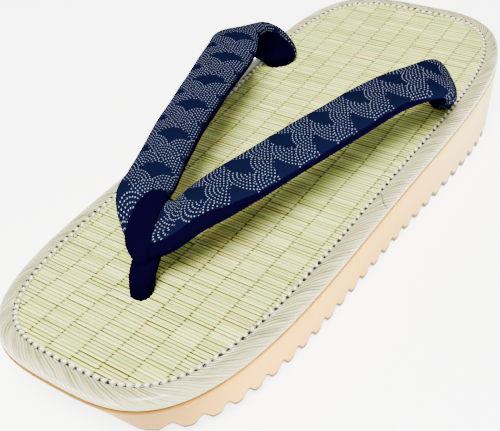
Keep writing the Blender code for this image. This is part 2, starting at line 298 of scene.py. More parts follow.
def section_axes(row):
    """Unit vectors of a section: out to its outer edge, and up through its face."""
    yaw, drop, lean = (math.radians(angle) for angle in row[5:8])
    out = Vector((math.cos(yaw) * math.cos(drop), -math.sin(yaw) * math.cos(drop), -math.sin(drop)))
    rise = Vector((math.cos(yaw) * math.sin(drop), -math.sin(yaw) * math.sin(drop), math.cos(drop)))
    return out, rise * math.cos(lean) + rise.cross(out) * math.sin(lean)


def squared(turn, squareness):
    """A point of a squared oval of unit half-size."""
    power = 2 / squareness
    return signed_power(math.cos(turn), power), signed_power(math.sin(turn), power)


def strap_point(row, turn, grow=0.0):
    """A point of the strap's skin at one section and angle, grown by a distance."""
    out, up = section_axes(row)
    u, v = squared(turn, SECTION_SQUARENESS)
    return Vector(row[:3]) + out * (u * (row[3] / 2 + grow)) + up * (v * (row[4] / 2 + grow))


def layer_turns(layer, count, share=LINING_SHARE):
    """Angles round the strap's section that one of its layers covers."""
    level = 2 * share - 1
    start = math.asin(signed_power(level, SECTION_SQUARENESS / 2))
    sweep = (start, math.pi - start) if layer == "face" else (math.pi - start, 2 * math.pi + start)
    return [sweep[0] + (sweep[1] - sweep[0]) * step / count for step in range(count + 1)]


# Materials


def shade(name, roughness=0.6, colour=(0.8, 0.8, 0.8), **sockets):
    """A material with one Principled shader, and its node tree and shader."""
    finish = bpy.data.materials.new(name)
    finish.use_nodes = True
    tree = finish.node_tree
    shader = tree.nodes["Principled BSDF"]
    shader.inputs["Base Color"].default_value = (*colour, 1)
    shader.inputs["Roughness"].default_value = roughness
    for key, value in sockets.items():
        shader.inputs[key.replace("_", " ")].default_value = value
    finish.diffuse_color = (*colour, 1)
    return finish, tree, shader


class Sums:
    """Writes arithmetic as Math nodes in one tree."""

    def __init__(self, tree):
        self.tree = tree

    def do(self, operation, *values, clamp=False):
        """One Math node, from sockets or numbers."""
        node = self.tree.nodes.new("ShaderNodeMath")
        node.operation = operation
        node.use_clamp = clamp
        for socket, value in zip(node.inputs, values):
            if isinstance(value, (int, float)):
                socket.default_value = value
            else:
                self.tree.links.new(value, socket)
        return node.outputs[0]

    def between(self, value, low, high, start=0.0, end=1.0):
        """A smooth step of a value from one range to another."""
        node = self.tree.nodes.new("ShaderNodeMapRange")
        node.interpolation_type = "SMOOTHSTEP"
        for socket, entry in zip(node.inputs, (value, low, high, start, end)):
            if isinstance(entry, (int, float)):
                socket.default_value = entry
            else:
                self.tree.links.new(entry, socket)
        return node.outputs[0]

    def split(self, vector):
        """The X, Y and Z of a vector."""
        node = self.tree.nodes.new("ShaderNodeSeparateXYZ")
        self.tree.links.new(vector, node.inputs[0])
        return node.outputs

    def mix(self, share, first, second):
        """A colour between two, from sockets or plain colours."""
        node = self.tree.nodes.new("ShaderNodeMix")
        node.data_type = "RGBA"
        for socket, entry in ((node.inputs[0], share), (node.inputs[6], first), (node.inputs[7], second)):
            if isinstance(entry, (int, float)):
                socket.default_value = entry
            elif isinstance(entry, (tuple, list)):
                socket.default_value = (*entry, 1)
            else:
                self.tree.links.new(entry, socket)
        return node.outputs[2]

    def noise(self, vector, scale, detail=2.0, roughness=0.5):
        """A noise value over a vector."""
        node = self.tree.nodes.new("ShaderNodeTexNoise")
        node.inputs["Scale"].default_value = scale
        node.inputs["Detail"].default_value = detail
        node.inputs["Roughness"].default_value = roughness
        self.tree.links.new(vector, node.inputs["Vector"])
        return node.outputs[0]

    def stretched(self, vector, scale):
        """A vector with each of its parts scaled."""
        node = self.tree.nodes.new("ShaderNodeMapping")
        node.inputs["Scale"].default_value = scale
        self.tree.links.new(vector, node.inputs["Vector"])
        return node.outputs[0]

    def coordinates(self, kind):
        """Object coordinates, or the piece's own map."""
        return self.tree.nodes.new("ShaderNodeTexCoord").outputs[kind]

    def bump(self, height, strength, distance, shader):
        """Relief on the shader's normal."""
        node = self.tree.nodes.new("ShaderNodeBump")
        node.inputs["Strength"].default_value = strength
        node.inputs["Distance"].default_value = distance
        self.tree.links.new(height, node.inputs["Height"])
        self.tree.links.new(node.outputs[0], shader.inputs["Normal"])


def foam_finish(look):
    """Cream foam, with painted shade making it a little darker and browner towards the tread and over the
    toe, painted light making it paler towards the heel, and painted shade on the tread's underside.
    """
    finish, tree, shader = shade("sole_foam", 0.6, look.colour, Subsurface_Weight=0.12,
                                 Subsurface_Scale=0.004, Specular_IOR_Level=0.15)
    shader.inputs["Subsurface Radius"].default_value = (1.0, 0.6, 0.4)
    sums = Sums(tree)
    place = sums.coordinates("Object")
    _, y, z = sums.split(place)
    # Painted shade: darker and browner low on the wall, patchily, and over the toe
    lean = sums.do("MULTIPLY_ADD", y, 0.06, 0.012)
    low = sums.between(sums.do("SUBTRACT", z, lean), -0.010, 0.006, 1.0, 0.0)
    patch = sums.noise(place, 90, 3)
    low = sums.do("MULTIPLY", low, sums.between(patch, 0.3, 0.7, 0.85, 1.0), clamp=True)
    toe = sums.between(y, -0.128, -0.090, 1.0, 0.0)
    share = sums.do("MAXIMUM", sums.do("MULTIPLY", low, 0.22), sums.do("MULTIPLY", toe, 0.85))
    # Painted light: a paler colour blended in towards the heel
    heel = sums.between(y, -0.02, 0.110, 0.0, 1.0)
    colour = sums.mix(heel, tuple(look.colour), tuple(look.heel_light_colour))
    colour = sums.mix(share, colour, tuple(look.low_shade_colour))
    # Painted shade: the tread's underside, marked in the sole's mesh, is darkened nearly to black
    tread = tree.nodes.new("ShaderNodeAttribute")
    tread.attribute_name = "tread"
    line = sums.between(tread.outputs["Fac"], 0.08, 0.6, 0.0, 0.92)
    colour = sums.mix(line, colour, tuple(look.tread_shade_colour))
    tree.links.new(colour, shader.inputs["Base Color"])
    sums.bump(sums.noise(place, 700, 4), 0.10, 0.0004, shader)
    return finish


def backing_finish(look):
    """Dark olive fibre under the rushes, partly its own colour and partly painted shade in the gaps
    between the stems.
    """
    return shade("mat_backing", 0.9, look.dark_fibre_and_shade_colour, Specular_IOR_Level=0.0)[0]


def rush_finish(look):
    """Dried rush: each stem has its own tone, with fine streaks along it, and painted shade on its lower
    sides and where it dips under a warp thread.
    """
    finish, tree, shader = shade("rush", 0.45, look.colour, Specular_IOR_Level=0.18)
    sums = Sums(tree)
    tone = tree.nodes.new("ShaderNodeAttribute")
    tone.attribute_name = "stem_tone_and_shade"
    place = sums.coordinates("Object")
    fresh, ripe, dip_shade = sums.split(tone.outputs["Vector"])
    streak = sums.noise(sums.stretched(place, (40, 1400, 1400)), 1.0, 2)
    cloud = sums.noise(place, 45, 2)
    colour = sums.mix(fresh, tuple(look.colour), tuple(look.pale_colour))
    ripeness = sums.do("MULTIPLY", sums.between(ripe, 0.50, 0.95), sums.between(cloud, 0.35, 0.65))
    colour = sums.mix(ripeness, colour, tuple(look.ripe_colour))
    dark = sums.do("MULTIPLY", sums.between(streak, 0.50, 0.72), 0.35)
    colour = sums.mix(dark, colour, tuple(look.dark_fibre_and_shade_colour))
    # Painted shade: darker down each stem's sides and where it dips at a warp thread
    shaded = sums.do("POWER", tone.outputs["Alpha"], 1.6)
    shaded = sums.do("MAXIMUM", sums.do("MULTIPLY", shaded, 0.9), dip_shade)
    colour = sums.mix(shaded, colour, tuple(look.dark_fibre_and_shade_colour))
    tree.links.new(colour, shader.inputs["Base Color"])
    sums.bump(streak, 0.25, 0.0002, shader)
    return finish


def tape_finish(look, thread_hole):
    """Pearly tape: slanting fine fibres with their satin sheen painted in as lit and shaded streaks,
    painted shade in the stitch holes and in a fold beside them, and a dark mark at its join.
    """
    finish, tree, shader = shade("tape", 0.24, look.colour, Specular_IOR_Level=0.9,
                                 Coat_Weight=0.5, Coat_Roughness=0.15)
    sums = Sums(tree)
    chart = sums.coordinates("UV")
    u, v, _ = sums.split(chart)
    slant = sums.do("ADD", u, sums.do("MULTIPLY", v, look.slant))
    wander = sums.noise(sums.stretched(chart, (9, 12, 1)), 1.0, 1)
    slant = sums.do("ADD", slant, sums.do("MULTIPLY", wander, 0.035))
    fibre = sums.do("SINE", sums.do("MULTIPLY", slant, 2 * math.pi / (look.fibre_pitch * 10)))
    lines = tree.nodes.new("ShaderNodeCombineXYZ")
    tree.links.new(slant, lines.inputs[0])
    tree.links.new(sums.do("MULTIPLY", v, 0.12), lines.inputs[1])
    coarse = sums.noise(lines.outputs[0], 85, 4, 0.65)
    # Painted sheen: lit and shaded streaks along the slanting fibres
    share = sums.do("ADD", sums.do("MULTIPLY", fibre, 0.16), sums.between(coarse, 0.30, 0.68))
    colour = sums.mix(share, tuple(look.shade_colour), tuple(look.colour))
    pitch = look.stitch_pitch * 10
    beat = sums.do("SUBTRACT", sums.do("FRACT", sums.do("DIVIDE", u, pitch)), 0.5)
    across = sums.do("SUBTRACT", v, thread_hole)
    far = sums.do("SQRT", sums.do("ADD", sums.do("POWER", sums.do("MULTIPLY", beat, pitch), 2),
                                  sums.do("POWER", across, 2)))
    # Painted shade in the stitch holes, with their size varied along the tape
    hole_size_noise = sums.noise(sums.stretched(chart, (18, 1, 1)), 1.0, 1)
    far = sums.do("MULTIPLY", far, sums.between(hole_size_noise, 0.25, 0.75, 0.75, 1.35))
    hole = sums.between(far, look.hole_size * 7.5, look.hole_size * 12.5, 1.0, 0.0)
    # Painted shade in a fold beside the stitch line, stronger towards the left
    beside = sums.between(sums.do("ABSOLUTE", sums.do("ADD", across, 0.0075)), 0.0, 0.0030, 1.0, 0.0)
    left = sums.between(sums.split(sums.coordinates("Object"))[0], -0.048, -0.030, 0.75, 0.30)
    crease_shade = sums.do("MULTIPLY", beside, left)
    start = look.join_place * 10
    bend = sums.between(v, 0.018, 0.070, start, start - 0.052)
    join = sums.between(sums.do("ABSOLUTE", sums.do("SUBTRACT", u, bend)), 0.0020, 0.0045, 0.85, 0.0)
    join = sums.do("MULTIPLY", join, sums.do("GREATER_THAN", v, thread_hole))
    # Painted shade in the holes and the fold beside them, and the dark join mark, take one dark colour
    dark = sums.do("MAXIMUM", sums.do("MAXIMUM", hole, crease_shade), join)
    colour = sums.mix(dark, colour, tuple(look.hole_shade_and_join_colour))
    tree.links.new(colour, shader.inputs["Base Color"])
    height = sums.do("SUBTRACT", fibre, sums.do("MULTIPLY", hole, 6))
    sums.bump(height, 0.7, 0.0004, shader)
    return finish


def thread_finish(look):
    """White sewing thread."""
    return shade("thread", 0.5, look.thread_colour)[0]


def wave_group():
    """Node group: a mask of dotted, overlapping fans over a flat map in millimetres."""
    group = bpy.data.node_groups.new("dotted_waves", "ShaderNodeTree")
    sides = {"Along": "INPUT", "Across": "INPUT", "Fan radius": "INPUT", "Row step": "INPUT",
             "Column step": "INPUT", "Ring step": "INPUT", "Dot spacing": "INPUT",
             "Dot radius": "INPUT", "Dots": "OUTPUT"}
    for name, side in sides.items():
        group.interface.new_socket(name, in_out=side, socket_type="NodeSocketFloat")
    into = group.nodes.new("NodeGroupInput").outputs
    sums = Sums(group)
    do = sums.do
    along, across, radius, row, column = (into[n] for n in
                                          ("Along", "Across", "Fan radius", "Row step", "Column step"))
    first = do("CEIL", do("DIVIDE", do("SUBTRACT", along, radius), row))
    found = []
    for step in (0, 1):
        line = do("ADD", first, step)
        odd = do("FLOORED_MODULO", line, 2.0)
        file = do("ADD", do("MULTIPLY", do("ROUND", do("DIVIDE", do("SUBTRACT", do(
            "DIVIDE", across, column), odd), 2.0)), 2.0), odd)
        ahead = do("SUBTRACT", along, do("MULTIPLY", line, row))
        aside = do("SUBTRACT", across, do("MULTIPLY", file, column))
        far = do("SQRT", do("ADD", do("MULTIPLY", ahead, ahead), do("MULTIPLY", aside, aside)))
        found.append((line, file, ahead, aside, far))
    inside = do("LESS_THAN", found[0][4], radius)
    line, file, ahead, aside, far = (do("ADD", do("MULTIPLY", inside, a), do(
        "MULTIPLY", do("SUBTRACT", 1.0, inside), b)) for a, b in zip(*found))
    reach = do("SUBTRACT", radius, do("MULTIPLY", into["Ring step"], 0.42))
    ring = do("SUBTRACT", reach, do("MULTIPLY", into["Ring step"], do(
        "ROUND", do("DIVIDE", do("SUBTRACT", reach, far), into["Ring step"]))))
    turn = do("DIVIDE", do("MULTIPLY", do("ARCTAN2", aside, ahead), ring), into["Dot spacing"])
    off = do("MULTIPLY", do("SUBTRACT", turn, do("ROUND", turn)), into["Dot spacing"])
    depth = do("SUBTRACT", far, ring)
    dot = do("SQRT", do("ADD", do("MULTIPLY", off, off), do("MULTIPLY", depth, depth)))
    edge = do("MULTIPLY", into["Dot radius"], 0.35)
    mask = sums.between(dot, do("SUBTRACT", into["Dot radius"], edge),
                        do("ADD", into["Dot radius"], edge), 1.0, 0.0)
    mask = do("MULTIPLY", mask, do("GREATER_THAN", ring, do("MULTIPLY", into["Ring step"], 0.45)))
    mask = do("MULTIPLY", mask, do("LESS_THAN", do("ABSOLUTE", depth), do(
        "MULTIPLY", into["Ring step"], 0.5)))
    even = do("LESS_THAN", do("FLOORED_MODULO", file, 2.0), 0.5)
    fourth = do("LESS_THAN", do("FLOORED_MODULO", do("ADD", line, file), 4.0), 0.5)
    plain = do("MULTIPLY", even, fourth)
    mask = do("MULTIPLY", mask, do("SUBTRACT", 1.0, plain), clamp=True)
    group.links.new(mask, group.nodes.new("NodeGroupOutput").inputs["Dots"])
    return group


def print_finish(look):
    """Navy cotton, printed with fans of pale dots."""
    finish, tree, shader = shade("printed_cotton", 0.75, look.cloth_colour, Specular_IOR_Level=0.0)
    sums = Sums(tree)
    chart = sums.coordinates("UV")
    u, v, _ = sums.split(chart)
    fans = tree.nodes.new("ShaderNodeGroup")
    fans.node_tree = wave_group()
    tree.links.new(sums.do("MULTIPLY", u, 100.0), fans.inputs["Along"])
    tree.links.new(sums.do("MULTIPLY", v, 100.0), fans.inputs["Across"])
    sizes = {"Fan radius": look.fan_radius, "Row step": look.row_step,
             "Column step": look.column_step, "Ring step": look.ring_step,
             "Dot spacing": look.dot_spacing, "Dot radius": look.dot_radius}
    for name, value in sizes.items():
        fans.inputs[name].default_value = value / MM
    weave = sums.noise(sums.stretched(chart, (900, 900, 1)), 1.0, 1)
    cloth = sums.mix(sums.between(weave, 0.35, 0.65), tuple(look.cloth_shade), tuple(look.cloth_colour))
    uneven = sums.noise(sums.stretched(chart, (300, 300, 1)), 1.0, 1)
    dots = sums.do("MULTIPLY", fans.outputs["Dots"], sums.between(uneven, 0.25, 0.6, 0.65, 1.0))
    colour = sums.mix(dots, cloth, tuple(look.dot_colour))
    border = tree.nodes.new("ShaderNodeAttribute")
    border.attribute_name = "past_border"
    covered = sums.between(border.outputs["Fac"], -0.15, 0.15)
    colour = sums.mix(covered, tuple(look.velvet_colour), colour)
    tree.links.new(colour, shader.inputs["Base Color"])
    sums.bump(weave, 0.2, 0.0001, shader)
    return finish


def velvet_finish(look):
    """Midnight-blue velvet."""
    finish, tree, shader = shade("velvet", 0.95, look.velvet_colour, Sheen_Weight=0.02,
                                 Sheen_Roughness=0.35, Specular_IOR_Level=0.0)
    shader.inputs["Sheen Tint"].default_value = (0.03, 0.02, 0.60, 1)
    sums = Sums(tree)
    sums.bump(sums.noise(sums.coordinates("Object"), 2500, 2), 0.25, 0.0002, shader)
    return finish


# Pieces


def colour_prop(name, words, default):
    """A colour that a user may change."""
    return FloatVectorProperty(name=name, description=words, default=default, subtype="COLOR",
                               size=3, min=0, max=1)


def length_prop(name, words, default):
    """A length that a user may change."""
    return FloatProperty(name=name, description=words, default=default, min=0, unit="LENGTH",
                         precision=5)


class ZORI_PG_sole(bpy.types.PropertyGroup):
    """Looks of the sole."""
    colour: colour_prop("Foam", "Colour of the moulded foam", (0.97, 0.50, 0.05))
    # Painted light, blended in towards the heel
    heel_light_colour: colour_prop("Heel foam", "Colour of the paler foam at the heel", (0.98, 0.76, 0.30))
    # Painted shade, blended in low on the wall and over the toe
    low_shade_colour: colour_prop("Low foam", "Colour of the foam near the tread", (0.17, 0.080, 0.009))
    # Painted shade on the tread's underside
    tread_shade_colour: colour_prop("Tread edge", "Colour of the tread's edge", (0.014, 0.009, 0.004))


class ZORI_PG_mat(bpy.types.PropertyGroup):
    """Looks of the rush footbed."""
    pitch: length_prop("Stem pitch", "Distance between stems", 0.0014)
    warp_pitch: length_prop("Warp pitch", "Distance between the warp threads", 0.0100)
    colour: colour_prop("Rush", "Colour of most stems", (0.58, 0.70, 0.14))
    pale_colour: colour_prop("Pale rush", "Colour of the palest stems", (0.86, 0.93, 0.30))
    ripe_colour: colour_prop("Ripe rush", "Colour of the yellowed stems", (0.82, 0.76, 0.19))
    # Partly the dark fibre's own colour, partly painted shade between and under the stems
    dark_fibre_and_shade_colour: colour_prop("Gaps", "Colour between the stems", (0.055, 0.050, 0.006))
    seed: IntProperty(name="Seed", description="Picks the stems' tones", default=4, min=0)


class ZORI_PG_tape(bpy.types.PropertyGroup):
    """Looks of the edge tape and its stitches."""
    colour: colour_prop("Tape", "Colour of the tape's lit fibres", (0.84, 0.81, 0.38))
    shade_colour: colour_prop("Tape shade", "Colour between the fibres", (0.22, 0.21, 0.075))
    # Painted shade in the stitch holes and the fold beside them; also the join mark's colour
    hole_shade_and_join_colour: colour_prop("Holes", "Colour inside the stitch holes", (0.012, 0.011, 0.007))
    thread_colour: colour_prop("Thread", "Colour of the sewing thread", (0.95, 0.94, 0.80))
    fibre_pitch: length_prop("Fibre pitch", "Distance between the tape's fibres", 0.0021)
    stitch_pitch: length_prop("Stitch pitch", "Distance between stitch holes", 0.0033)
    stitch_inset: length_prop("Stitch line", "Distance of the stitches from the edge", 0.0060)
    hole_size: length_prop("Hole size", "Radius of a stitch hole", 0.00074)
    slant: FloatProperty(name="Slant", description="Lean of the fibres across the tape", default=-1.9)
    join_place: length_prop("Join", "Distance along the tape to the mark of its join", 0.6484)


class ZORI_PG_strap(bpy.types.PropertyGroup):
    """Looks of the straps and the toe post."""
    cloth_colour: colour_prop("Cotton", "Colour of the printed cloth", (0.0030, 0.0043, 0.0205))
    cloth_shade: colour_prop("Cotton shade", "Darker threads of the cloth", (0.0015, 0.0022, 0.0110))
    dot_colour: colour_prop("Dots", "Colour of the printed dots", (0.27, 0.31, 0.38))
    velvet_colour: colour_prop("Velvet", "Colour of the velvet", (0.0010, 0.0002, 0.0075))
    fan_radius: length_prop("Fan radius", "Radius of a printed fan", 0.0078)
    row_step: length_prop("Row step", "Distance between rows of fans", 0.00465)
    column_step: length_prop("Column step", "Distance between columns of fans", 0.0069)
    ring_step: length_prop("Ring step", "Distance between the rings of a fan", 0.00128)
    dot_spacing: length_prop("Dot spacing", "Distance between the dots of a ring", 0.00112)
    dot_radius: length_prop("Dot radius", "Radius of a printed dot", 0.00018)
    root_border: FloatProperty(name="Root border", description="Share of the side that is printed "
                               "at the roots", default=0.30, min=0, max=0.4)
    border: length_prop("Velvet border", "Velvet beside the print on both edges", 0.0013)
    near_border: length_prop("Near border", "Further velvet under the right strap's print", 0.0003)
    crown_border: length_prop("Crown border", "Further velvet under the print at the crown", 0.0050)
    crown_reach: length_prop("Crown reach", "Length over which that velvet narrows", 0.0340)
    hood_shift: length_prop("Hood shift", "How far the hood sits to the left", 0.0018)
    hood_tilt: FloatProperty(name="Hood tilt", description="How much further left it sits per length "
                             "behind its middle", default=0.22, min=0)
    hood_middle: FloatProperty(name="Hood middle", description="Length at which the hood is widest",
                               default=-0.0870, unit="LENGTH", precision=5)
    hood_length: length_prop("Hood length", "Length of the hood over the crown", 0.0370)
    hood_reach: length_prop("Hood reach", "Half of the hood's width over the crown", 0.0052)
    hood_wall: length_prop("Hood wall", "Thickness of the hood", 0.0012)


class ZORI_PG_stage(bpy.types.PropertyGroup):
    """Camera, lights and floor."""
    camera_place: FloatVectorProperty(name="Camera", description="Place of the camera",
                                      default=(0.14474, -0.22884, 0.20074), subtype="XYZ", size=3)
    camera_turn: FloatVectorProperty(name="View", description="Azimuth, elevation and roll in degrees",
                                     default=(35.4985, 36.8718, -3.4549), size=3)
    lens: FloatProperty(name="Lens", description="Focal length in millimetres", default=57.673, min=1)
    floor_colour: colour_prop("Floor", "Colour of the floor", (0.95, 0.95, 0.95))
    key_power: FloatProperty(name="Key", description="Power of the main light in watts", default=28.0,
                             min=0)
    fill_power: FloatProperty(name="Fill", description="Power of the fill light in watts", default=2.5,
                              min=0)
    sky: FloatProperty(name="Sky", description="Strength of the surrounding light", default=0.32, min=0)
    glow: FloatProperty(name="Floor glow", description="Light of the lit floor", default=4.4, min=0)


def make_sole(look):
    """Foam wedge with its wall, toe undercut and ribbed tread."""
    count = round(LENGTH / RIB_PITCH * STATIONS_PER_RIB)
    shares = {round(2 * step / count - 1, 6) for step in range(count + 1)}
    for step in range(1, END_STATIONS):
        turn = math.pi / 2 * (0.55 + 0.45 * step / END_STATIONS)
        for sign, squareness in ((-1, TOE_SQUARENESS), (1, HEEL_SQUARENESS)):
            shares.add(round(sign * math.sin(turn) ** (2 / squareness), 6))
    shares = sorted(shares)
    ledge = MAT_THICKNESS + TAPE + 2 * GAP
    levels = WALL_LEVELS
    outline = [(-1, level) for level in reversed(levels)] + [(1, level) for level in levels]

    def place(i, j):
        share = shares[i]
        side, level = outline[j % len(outline)]
        inset = SOLE_DRAFT + TOE_UNDERCUT * max(0.0, -share) ** UNDERCUT_POWER
        inset -= HEEL_FLARE * max(0.0, share) ** 2
        squareness = HEEL_SQUARENESS if share > 0 else TOE_SQUARENESS
        turn = math.asin(signed_power(share, squareness / 2))
        along = plan_point(turn + 0.002) - plan_point(turn - 0.002)
        inward = Vector((-along.y, along.x)).normalized()
        edge = plan_point(turn)
        foot = edge + inward * inset
        low = Vector((side * max(foot.x, 0.0), foot.y, underside(foot.y)))
        high = Vector((side * max(edge.x, 0.0), edge.y, surface(edge.y) - ledge))
        return low.lerp(high, level)

    shape = bmesh.new()
    tread = shape.verts.layers.float.new("tread")
    made = grid_bent(shape, len(shares) - 1, len(outline), place)
    # Mark the tread's underside row, where the foam finish paints shade
    for count, vert in enumerate(made):
        vert[tread] = 1.0 if outline[count // len(shares) % len(outline)][1] == 0 else 0.0
    close_up(shape)
    piece = finish_piece("sole_foam", shape, foam_finish(look), "sole")
    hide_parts("sole")


def make_rushes(look):
    """Every stem of the rush sheet, dipping under and over the warp threads."""
    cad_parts["rush_mat"].data.materials.clear()
    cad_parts["rush_mat"].data.materials.append(backing_finish(look))
    picks = random.Random(look.seed)
    shape = bmesh.new()
    tone = shape.verts.layers.float_color.new("stem_tone_and_shade")
    hidden = 0.0042
    count = int((LENGTH / 2 - hidden) / look.pitch)
    warps = [look.warp_pitch * step for step in range(-6, 7)]
    marks = (-0.30, -0.06, -0.02, 0.02, 0.06, 0.30)
    ring = [math.radians(angle) for angle in (-25, 30, 90, 150, 205, 270)]
    for number in range(-count, count + 1):
        y = number * look.pitch
        reach = half_width(y / (LENGTH / 2 - hidden) * 0.999) - hidden
        if reach < look.warp_pitch / 2:
            continue
        places = sorted(x for warp in warps for x in (warp + m * look.warp_pitch for m in marks)
                        if abs(x) < reach - look.pitch / 4)
        places = [-reach] + places + [reach]
        shift = look.warp_pitch * 0.04 * noise.noise((0.0, y * 60, 3.0))
        lift = picks.uniform(-0.05, 0.05) * MM
        cells = {}
        # Each stretch of stem: its fresh and ripe tones, drift, swell, and how strongly its sides are
        # painted in shade
        for span in range(-8, 9):
            cells[span] = (picks.random() ** 1.3, picks.random(), picks.uniform(-0.14, 0.14) * MM,
                           picks.choice((0.83, 0.89, 0.93, 0.96, 0.98, 1.00)),
                           picks.choice((0.25, 0.55, 0.85, 1.00)))

        def section(x):
            warp = math.floor(x / look.warp_pitch + 0.5)
            off = abs(x - warp * look.warp_pitch) / look.warp_pitch
            return (warp + number) % 2 == 0, max(0.0, 1 - off / 0.055)

        def place(i, j):
            x = places[i]
            dips, near = section(x)
            _, _, drift, swell, _ = cells[math.floor(x / look.warp_pitch)]
            sink = (-0.22 if dips else 0.04) * near * MM
            size = (swell * (1 - near) + near) * (1 - (0.36 if dips else 0.14) * near)
            turn = ring[j % len(ring)]
            wide = look.pitch * 0.495 * size
            tall = look.pitch * 0.44 * size
            return Vector((x + shift, y + drift * (1 - near) + wide * math.cos(turn),
                           surface(y) - 0.22 * MM + lift + sink + tall * math.sin(turn)))

        made = grid_bent(shape, len(places) - 1, len(ring), place)
        for vert in made:
            x = vert.co.x - shift
            dips, near = section(x)
            fresh, ripe, _, _, dark = cells[math.floor(x / look.warp_pitch)]
            top = surface(vert.co.y) - 0.22 * MM
            # Painted shade down the stem's sides, growing lower on its section
            side = min(1.0, max(0.0, (top + 0.52 * MM - vert.co.z) / (0.70 * MM))) * dark
            # Fresh and ripe tones, then painted shade at the warp dips and on the stem's sides
            vert[tone] = (fresh, ripe, near * 0.55, side)
    close_up(shape)
    piece = finish_piece("rushes", shape, rush_finish(look), "rush_mat", 80)
    return piece


def tape_profile(look):
    """The tape's section: distance in from the edge, height over the mat, length along it."""
    low = -MAT_THICKNESS - GAP - TAPE
    points = [(7.2, 0.30), (7.0, 0.85), (6.6, 1.02), (6.2, 0.70), (6.0, 0.58), (5.8, 0.70),
              (5.3, 1.15), (4.4, 1.38), (3.3, 1.42), (2.2, 1.25), (1.3, 0.85), (0.6, 0.20),
              (0.15, -0.70), (0.0, -1.70), (0.1, -2.70), (0.6, -3.50), (1.6, low / MM),
              (5.2, low / MM), (5.2, low / MM + 0.7), (0.9, low / MM + 0.8), (0.8, 0.20)]
    run, travelled = [], 0.0
    for count, (inset, height) in enumerate(points):
        if count:
            travelled += math.dist(points[count - 1], (inset, height))
        run.append((inset * MM, height * MM, travelled / 100))
    return run


def make_tape(look):
    """The sewn tape round the footbed's edge, and the thread that holds it."""
    profile = tape_profile(look)
    run = edge_run(TAPE_STEPS)
    total = run[-1][2]
    pitch = total / round(total / look.stitch_pitch)
    look.stitch_pitch = pitch
    run[-1] = (run[0][0], run[0][1], total)

    def place(i, j):
        point, inward, travelled = run[i]
        inset, height, _ = profile[j % len(profile)]
        spot = point + inward * inset
        pull = 0.22 * MM * math.cos(2 * math.pi * travelled / pitch)
        near = max(0.0, 1 - abs(inset - look.stitch_inset) / (1.0 * MM)) if height > 0 else 0.0
        puff = 0.16 * MM * noise.noise((spot.x * 90, spot.y * 90, 1.0)) if height > 0.3 * MM else 0.0
        return Vector((spot.x, spot.y, surface(spot.y) + height + puff + pull * near))

    def chart(i, j, _):
        last = profile[-1][2] + 0.006
        return run[i][2] * 10, profile[j][2] if j < len(profile) else last

    shape = bmesh.new()
    grid_bent(shape, TAPE_STEPS, len(profile), place, chart)
    close_up(shape)
    hole = next(length for inset, _, length in profile if inset <= look.stitch_inset)
    piece = finish_piece("tape", shape, tape_finish(look, hole), "edge_binding", 70)
    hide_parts("edge_binding")

    shape = bmesh.new()
    travelled, count = 0.0, 0
    reach = look.stitch_inset + 0.55 * MM
    spots = [(point + inward * reach, inward, so_far) for point, inward, so_far in run]
    for (spot, inward, so_far), (after, _, further) in zip(spots, spots[1:]):
        while travelled < further and travelled < total - pitch / 2:
            share = (travelled - so_far) / max(further - so_far, 1e-9)
            here = spot.lerp(after, share)
            along = Vector((-inward.y, inward.x, 0))
            lean = math.atan2(along.y, along.x) + math.radians(24)
            middle = Vector((here.x, here.y, surface(here.y) + 0.92 * MM))
            size = Matrix.Diagonal((pitch * 0.36, pitch * 0.17, pitch * 0.16, 1))
            turned = Matrix.Translation(middle) @ Matrix.Rotation(lean, 4, "Z") @ size
            bmesh.ops.create_icosphere(shape, subdivisions=1, radius=1, matrix=turned)
            count += 1
            travelled = count * pitch
    bmesh.ops.recalc_face_normals(shape, faces=shape.faces)
    finish_piece("stitches", shape, thread_finish(look), "edge_binding", 80)


def pattern_length(row, turns):
    """Distances round the strap's section from the edge where the print begins."""
    fine = 12
    lengths, travelled = [], 0.0
    turn = math.radians(PATTERN_START)
    here = strap_point(row, turn)
    for goal in turns:
        for step in range(1, fine + 1):
            there = strap_point(row, turn + (goal - turn) * step / fine)
            travelled += (there - here).length
            here = there
        turn = goal
        lengths.append(travelled)
    return lengths


